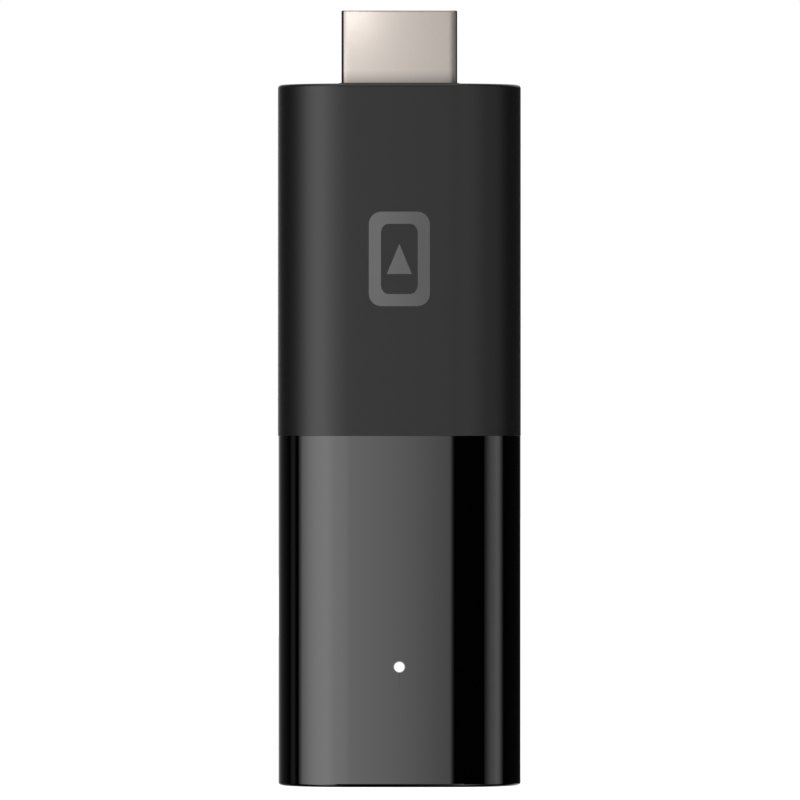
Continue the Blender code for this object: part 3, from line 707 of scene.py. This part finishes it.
def make_lit_pipe_material():
    """The light pipe's frosted end, lit from behind: brightest in the middle."""
    tree, shader = finish("lit_light_pipe", (0.3, 0.31, 0.32), 0.25, grain=0.1 * MM)
    place = tree.nodes.new("ShaderNodeTexCoord")
    offset = tree.nodes.new("ShaderNodeVectorMath")
    offset.operation = "DISTANCE"
    offset.inputs[1].default_value = (0, PIPE_LOW.y, LIGHT_HEIGHT)
    tree.links.new(place.outputs["Object"], offset.inputs[0])
    glow = ranged(tree, offset.outputs["Value"], GLOW, RIM_GLOW, LIGHT_RADIUS / 2, LIGHT_RADIUS)
    shader.inputs["Emission Color"].default_value = (1, 1, 1, 1)
    tree.links.new(glow, shader.inputs["Emission Strength"])


def dress_cad_nodes():
    """Gives each CAD node that stays its material, and a small bevel that catches the light."""
    slots = {part["node"]: part["material_slot"] for part in frame["record"]["subparts"]}
    for name, obj in frame["nodes"].items():
        if obj.hide_render:
            continue
        obj.data.materials.clear()
        obj.data.materials.append(looks[slots[name]])
        weld = obj.modifiers.new("weld", "WELD")
        weld.merge_threshold = WELD_REACH
        bevel = obj.modifiers.new("bevel", "BEVEL")
        bevel.width = NODE_BEVEL
        bevel.segments = NODE_BEVEL_STEPS
        bevel.limit_method = "ANGLE"
        bevel.angle_limit = NODE_BEVEL_ANGLE


# The studio

# The softboxes, each an outline of (degrees from the front towards the right, brightness)
KEY_BOX = (
    (-82.5, 0.0), (-77, 1.1), (-73.5, 2.1), (-60, 3.5), (-47, 4.3), (-35, 4.5), (-22, 3.8), (-9, 3.5),
    (-3.5, 3.0), (0, 2.4), (4, 1.5), (6.5, 1.2), (9, 0.3), (11.5, 0.0),
)
STRIP_BOX = ((52, 0.0), (57, 0.5), (63, 1.1), (75, 1.7), (79, 1.5), (83, 0.8), (88, 0.1), (90, 0.0))
EDGE_BOX = ((-104, 0.0), (-94, 0.2), (-87, 0.0))
REAR_LEFT_BOX = ((-180, 2.0), (-165, 1.6), (-150, 0.3), (-132, 0.1), (-105, 0.0))
REAR_RIGHT_BOX = ((92, 0.0), (110, 0.01), (158, 0.02), (180, 1.5))
LEVEL_BOXES = (KEY_BOX, STRIP_BOX, EDGE_BOX, REAR_LEFT_BOX, REAR_RIGHT_BOX)
# The soft fill above and below them, and the light that shapes the stick's back
FILL_BOXES = (
    ((-72, 0.0), (-46, 5.0), (-27, 0.0)),
    ((0, 0.0), (30, 3.0), (60, 0.0)),
    ((-180, 1.5), (-165, 1.5), (-150, 0.0)),
    ((150, 0.0), (180, 1.5)),
)
BACK_BOXES = (
    ((-180, 0.6), (-160, 0.5), (-150, 0.35), (-135, 0.25), (-110, 0.0)),
    ((123, 0.0), (133, 1.0), (142, 1.2), (152, 1.0), (165, 1.3), (180, 0.6)),
)
# How far up and down each kind reaches: (degrees above the horizon, share)
LEVEL_HEIGHTS = ((-90, 0.0), (-8, 0.0), (-5.5, 1.0), (5.5, 1.0), (8, 0.0), (90, 0.0))
FILL_HEIGHTS = (
    (-90, 0.15), (-45, 0.3), (-25, 0.5), (-17, 1.0), (-8, 1.0), (-5.5, 0.0), (5.5, 0.0), (8, 1.0),
    (17, 1.0), (25, 0.5), (45, 0.3), (90, 0.15),
)
BACK_HEIGHTS = (
    (-90, 0.3), (-60, 0.6), (-35, 1.0), (-15, 1.0), (-10, 0.0), (10, 0.0), (15, 1.0), (35, 1.0),
    (60, 0.6), (90, 0.3),
)
BRIGHTEST = 5.0

FLOOR_HALF = 3.0
FLOOR_COLOUR = (0.8, 0.8, 0.8)
FLOOR_ROUGHNESS = 0.9
FLOOR_GLOW = 0.86

OVERHEAD_SIZE = 0.6
OVERHEAD_POWER = 2.2
OVERHEAD_PLACE = Vector((-0.1, -0.15, 0.8))

# The plug's lamp, placed from the plug's upper left corner at the front
LAMP_SIZE = 6 * MM
LAMP_POWER = 0.00056
LAMP_OFFSET = Vector((-1.05, -33, 2.2)) * MM

FRAME_WIDTH = 96.2 * MM
FRAME_MIDDLE = Vector((0.08, 0, 46.33)) * MM
SENSOR = 36
LENS = 500
CLIP_NEAR = 0.01
CLIP_FAR = 20


def ramp(tree, value, stops):
    """A value turned into a brightness through (value, brightness) stops."""
    node = tree.nodes.new("ShaderNodeValToRGB")
    low, high = stops[0][0], stops[-1][0]
    elements = node.color_ramp.elements
    for place, (at, level) in enumerate(stops):
        if place == 0:
            element = elements[0]
        elif at == high:
            element = elements[-1]
        else:
            element = elements.new((at - low) / (high - low))
        element.color = (level / BRIGHTEST,) * 3 + (1,)
    tree.links.new(ranged(tree, value, 0, 1, low, high), node.inputs["Fac"])
    return calculated(tree, "MULTIPLY", node.outputs["Color"], BRIGHTEST)


def make_world():
    """A studio of softboxes, bright on the left with a strip on the right, and a plain white backdrop."""
    world = bpy.data.worlds.new("studio")
    bpy.context.scene.world = world
    world.use_nodes = True
    tree = world.node_tree
    tree.nodes.clear()
    place = tree.nodes.new("ShaderNodeTexCoord")
    split = tree.nodes.new("ShaderNodeSeparateXYZ")
    tree.links.new(place.outputs["Generated"], split.inputs["Vector"])
    backwards = calculated(tree, "MULTIPLY", split.outputs["Y"], -1)
    turn = calculated(tree, "ARCTAN2", split.outputs["X"], backwards)
    azimuth = calculated(tree, "MULTIPLY", turn, math.degrees(1))
    lift = calculated(tree, "ARCSINE", split.outputs["Z"], 0)
    elevation = calculated(tree, "MULTIPLY", lift, math.degrees(1))
    total = 0
    kinds = ((LEVEL_BOXES, LEVEL_HEIGHTS), (FILL_BOXES, FILL_HEIGHTS), (BACK_BOXES, BACK_HEIGHTS))
    for boxes, heights in kinds:
        across = 0
        for box in boxes:
            across = calculated(tree, "ADD", across, ramp(tree, azimuth, box))
        lit = calculated(tree, "MULTIPLY", across, ramp(tree, elevation, heights))
        total = calculated(tree, "ADD", total, lit)
    light = tree.nodes.new("ShaderNodeBackground")
    light.inputs["Color"].default_value = (1, 1, 1, 1)
    tree.links.new(total, light.inputs["Strength"])
    backdrop = tree.nodes.new("ShaderNodeBackground")
    backdrop.inputs["Color"].default_value = (1, 1, 1, 1)
    path = tree.nodes.new("ShaderNodeLightPath")
    mix = tree.nodes.new("ShaderNodeMixShader")
    output = tree.nodes.new("ShaderNodeOutputWorld")
    tree.links.new(path.outputs["Is Camera Ray"], mix.inputs["Fac"])
    tree.links.new(light.outputs["Background"], mix.inputs[1])
    tree.links.new(backdrop.outputs["Background"], mix.inputs[2])
    tree.links.new(mix.outputs["Shader"], output.inputs["Surface"])


def make_floor():
    """A plain white floor, slightly darker where the stick stands on it."""
    corners = [(x, y, 0) for x, y in rectangle(FLOOR_HALF, FLOOR_HALF)]
    mesh = bmesh.new()
    mesh.faces.new([mesh.verts.new(corner) for corner in corners])
    floor = new_object("floor", mesh)
    _, shader = new_material("white_floor", FLOOR_COLOUR, FLOOR_ROUGHNESS)
    shader.inputs["Specular IOR Level"].default_value = 0
    shader.inputs["Emission Color"].default_value = (1, 1, 1, 1)
    shader.inputs["Emission Strength"].default_value = FLOOR_GLOW
    floor.data.materials.append(looks["white_floor"])
    floor.visible_glossy = False


def make_overhead_light():
    """A large soft light above, which no surface mirrors."""
    data = bpy.data.lights.new("overhead", "AREA")
    data.shape = "DISK"
    data.size = OVERHEAD_SIZE
    data.energy = OVERHEAD_POWER
    data.specular_factor = 0
    light = bpy.data.objects.new("overhead", data)
    light.location = OVERHEAD_PLACE
    light.rotation_euler = (-light.location).to_track_quat("-Z", "Y").to_euler()
    bpy.context.scene.collection.objects.link(light)


def make_plug_light():
    """A small lamp close in front of the plug's upper left corner, which lights only the plug's shell."""
    data = bpy.data.lights.new("plug_lamp", "AREA")
    data.shape = "DISK"
    data.size = LAMP_SIZE
    data.energy = LAMP_POWER
    lamp = bpy.data.objects.new("plug_lamp", data)
    lamp.location = Vector((PLUG_LOW.x, PLUG_LOW.y, PLUG_HIGH.z)) + LAMP_OFFSET
    lamp.rotation_euler = (math.radians(90), 0, 0)
    lamp.visible_camera = False
    bpy.context.scene.collection.objects.link(lamp)
    lit = bpy.data.collections.new("lit_by_plug_lamp")
    lit.objects.link(bpy.data.objects["plug_shell"])
    lamp.light_linking.receiver_collection = lit


def make_camera():
    """A long lens in front of the stick, level with its middle."""
    data = bpy.data.cameras.new("camera")
    data.sensor_width = SENSOR
    data.lens = LENS
    data.clip_start, data.clip_end = CLIP_NEAR, CLIP_FAR
    camera = bpy.data.objects.new("camera", data)
    camera.location = FRAME_MIDDLE - Vector((0, FRAME_WIDTH * LENS / SENSOR, 0))
    camera.rotation_euler = (math.radians(90), 0, 0)
    bpy.context.scene.collection.objects.link(camera)
    bpy.context.scene.camera = camera
    bpy.context.scene.view_settings.view_transform = "Standard"


make_camera()
make_materials()
make_cap()
make_sleeve()
make_plug_shell()
make_light_pipe()
make_mark()
dress_cad_nodes()
make_world()
make_floor()
make_overhead_light()
make_plug_light()
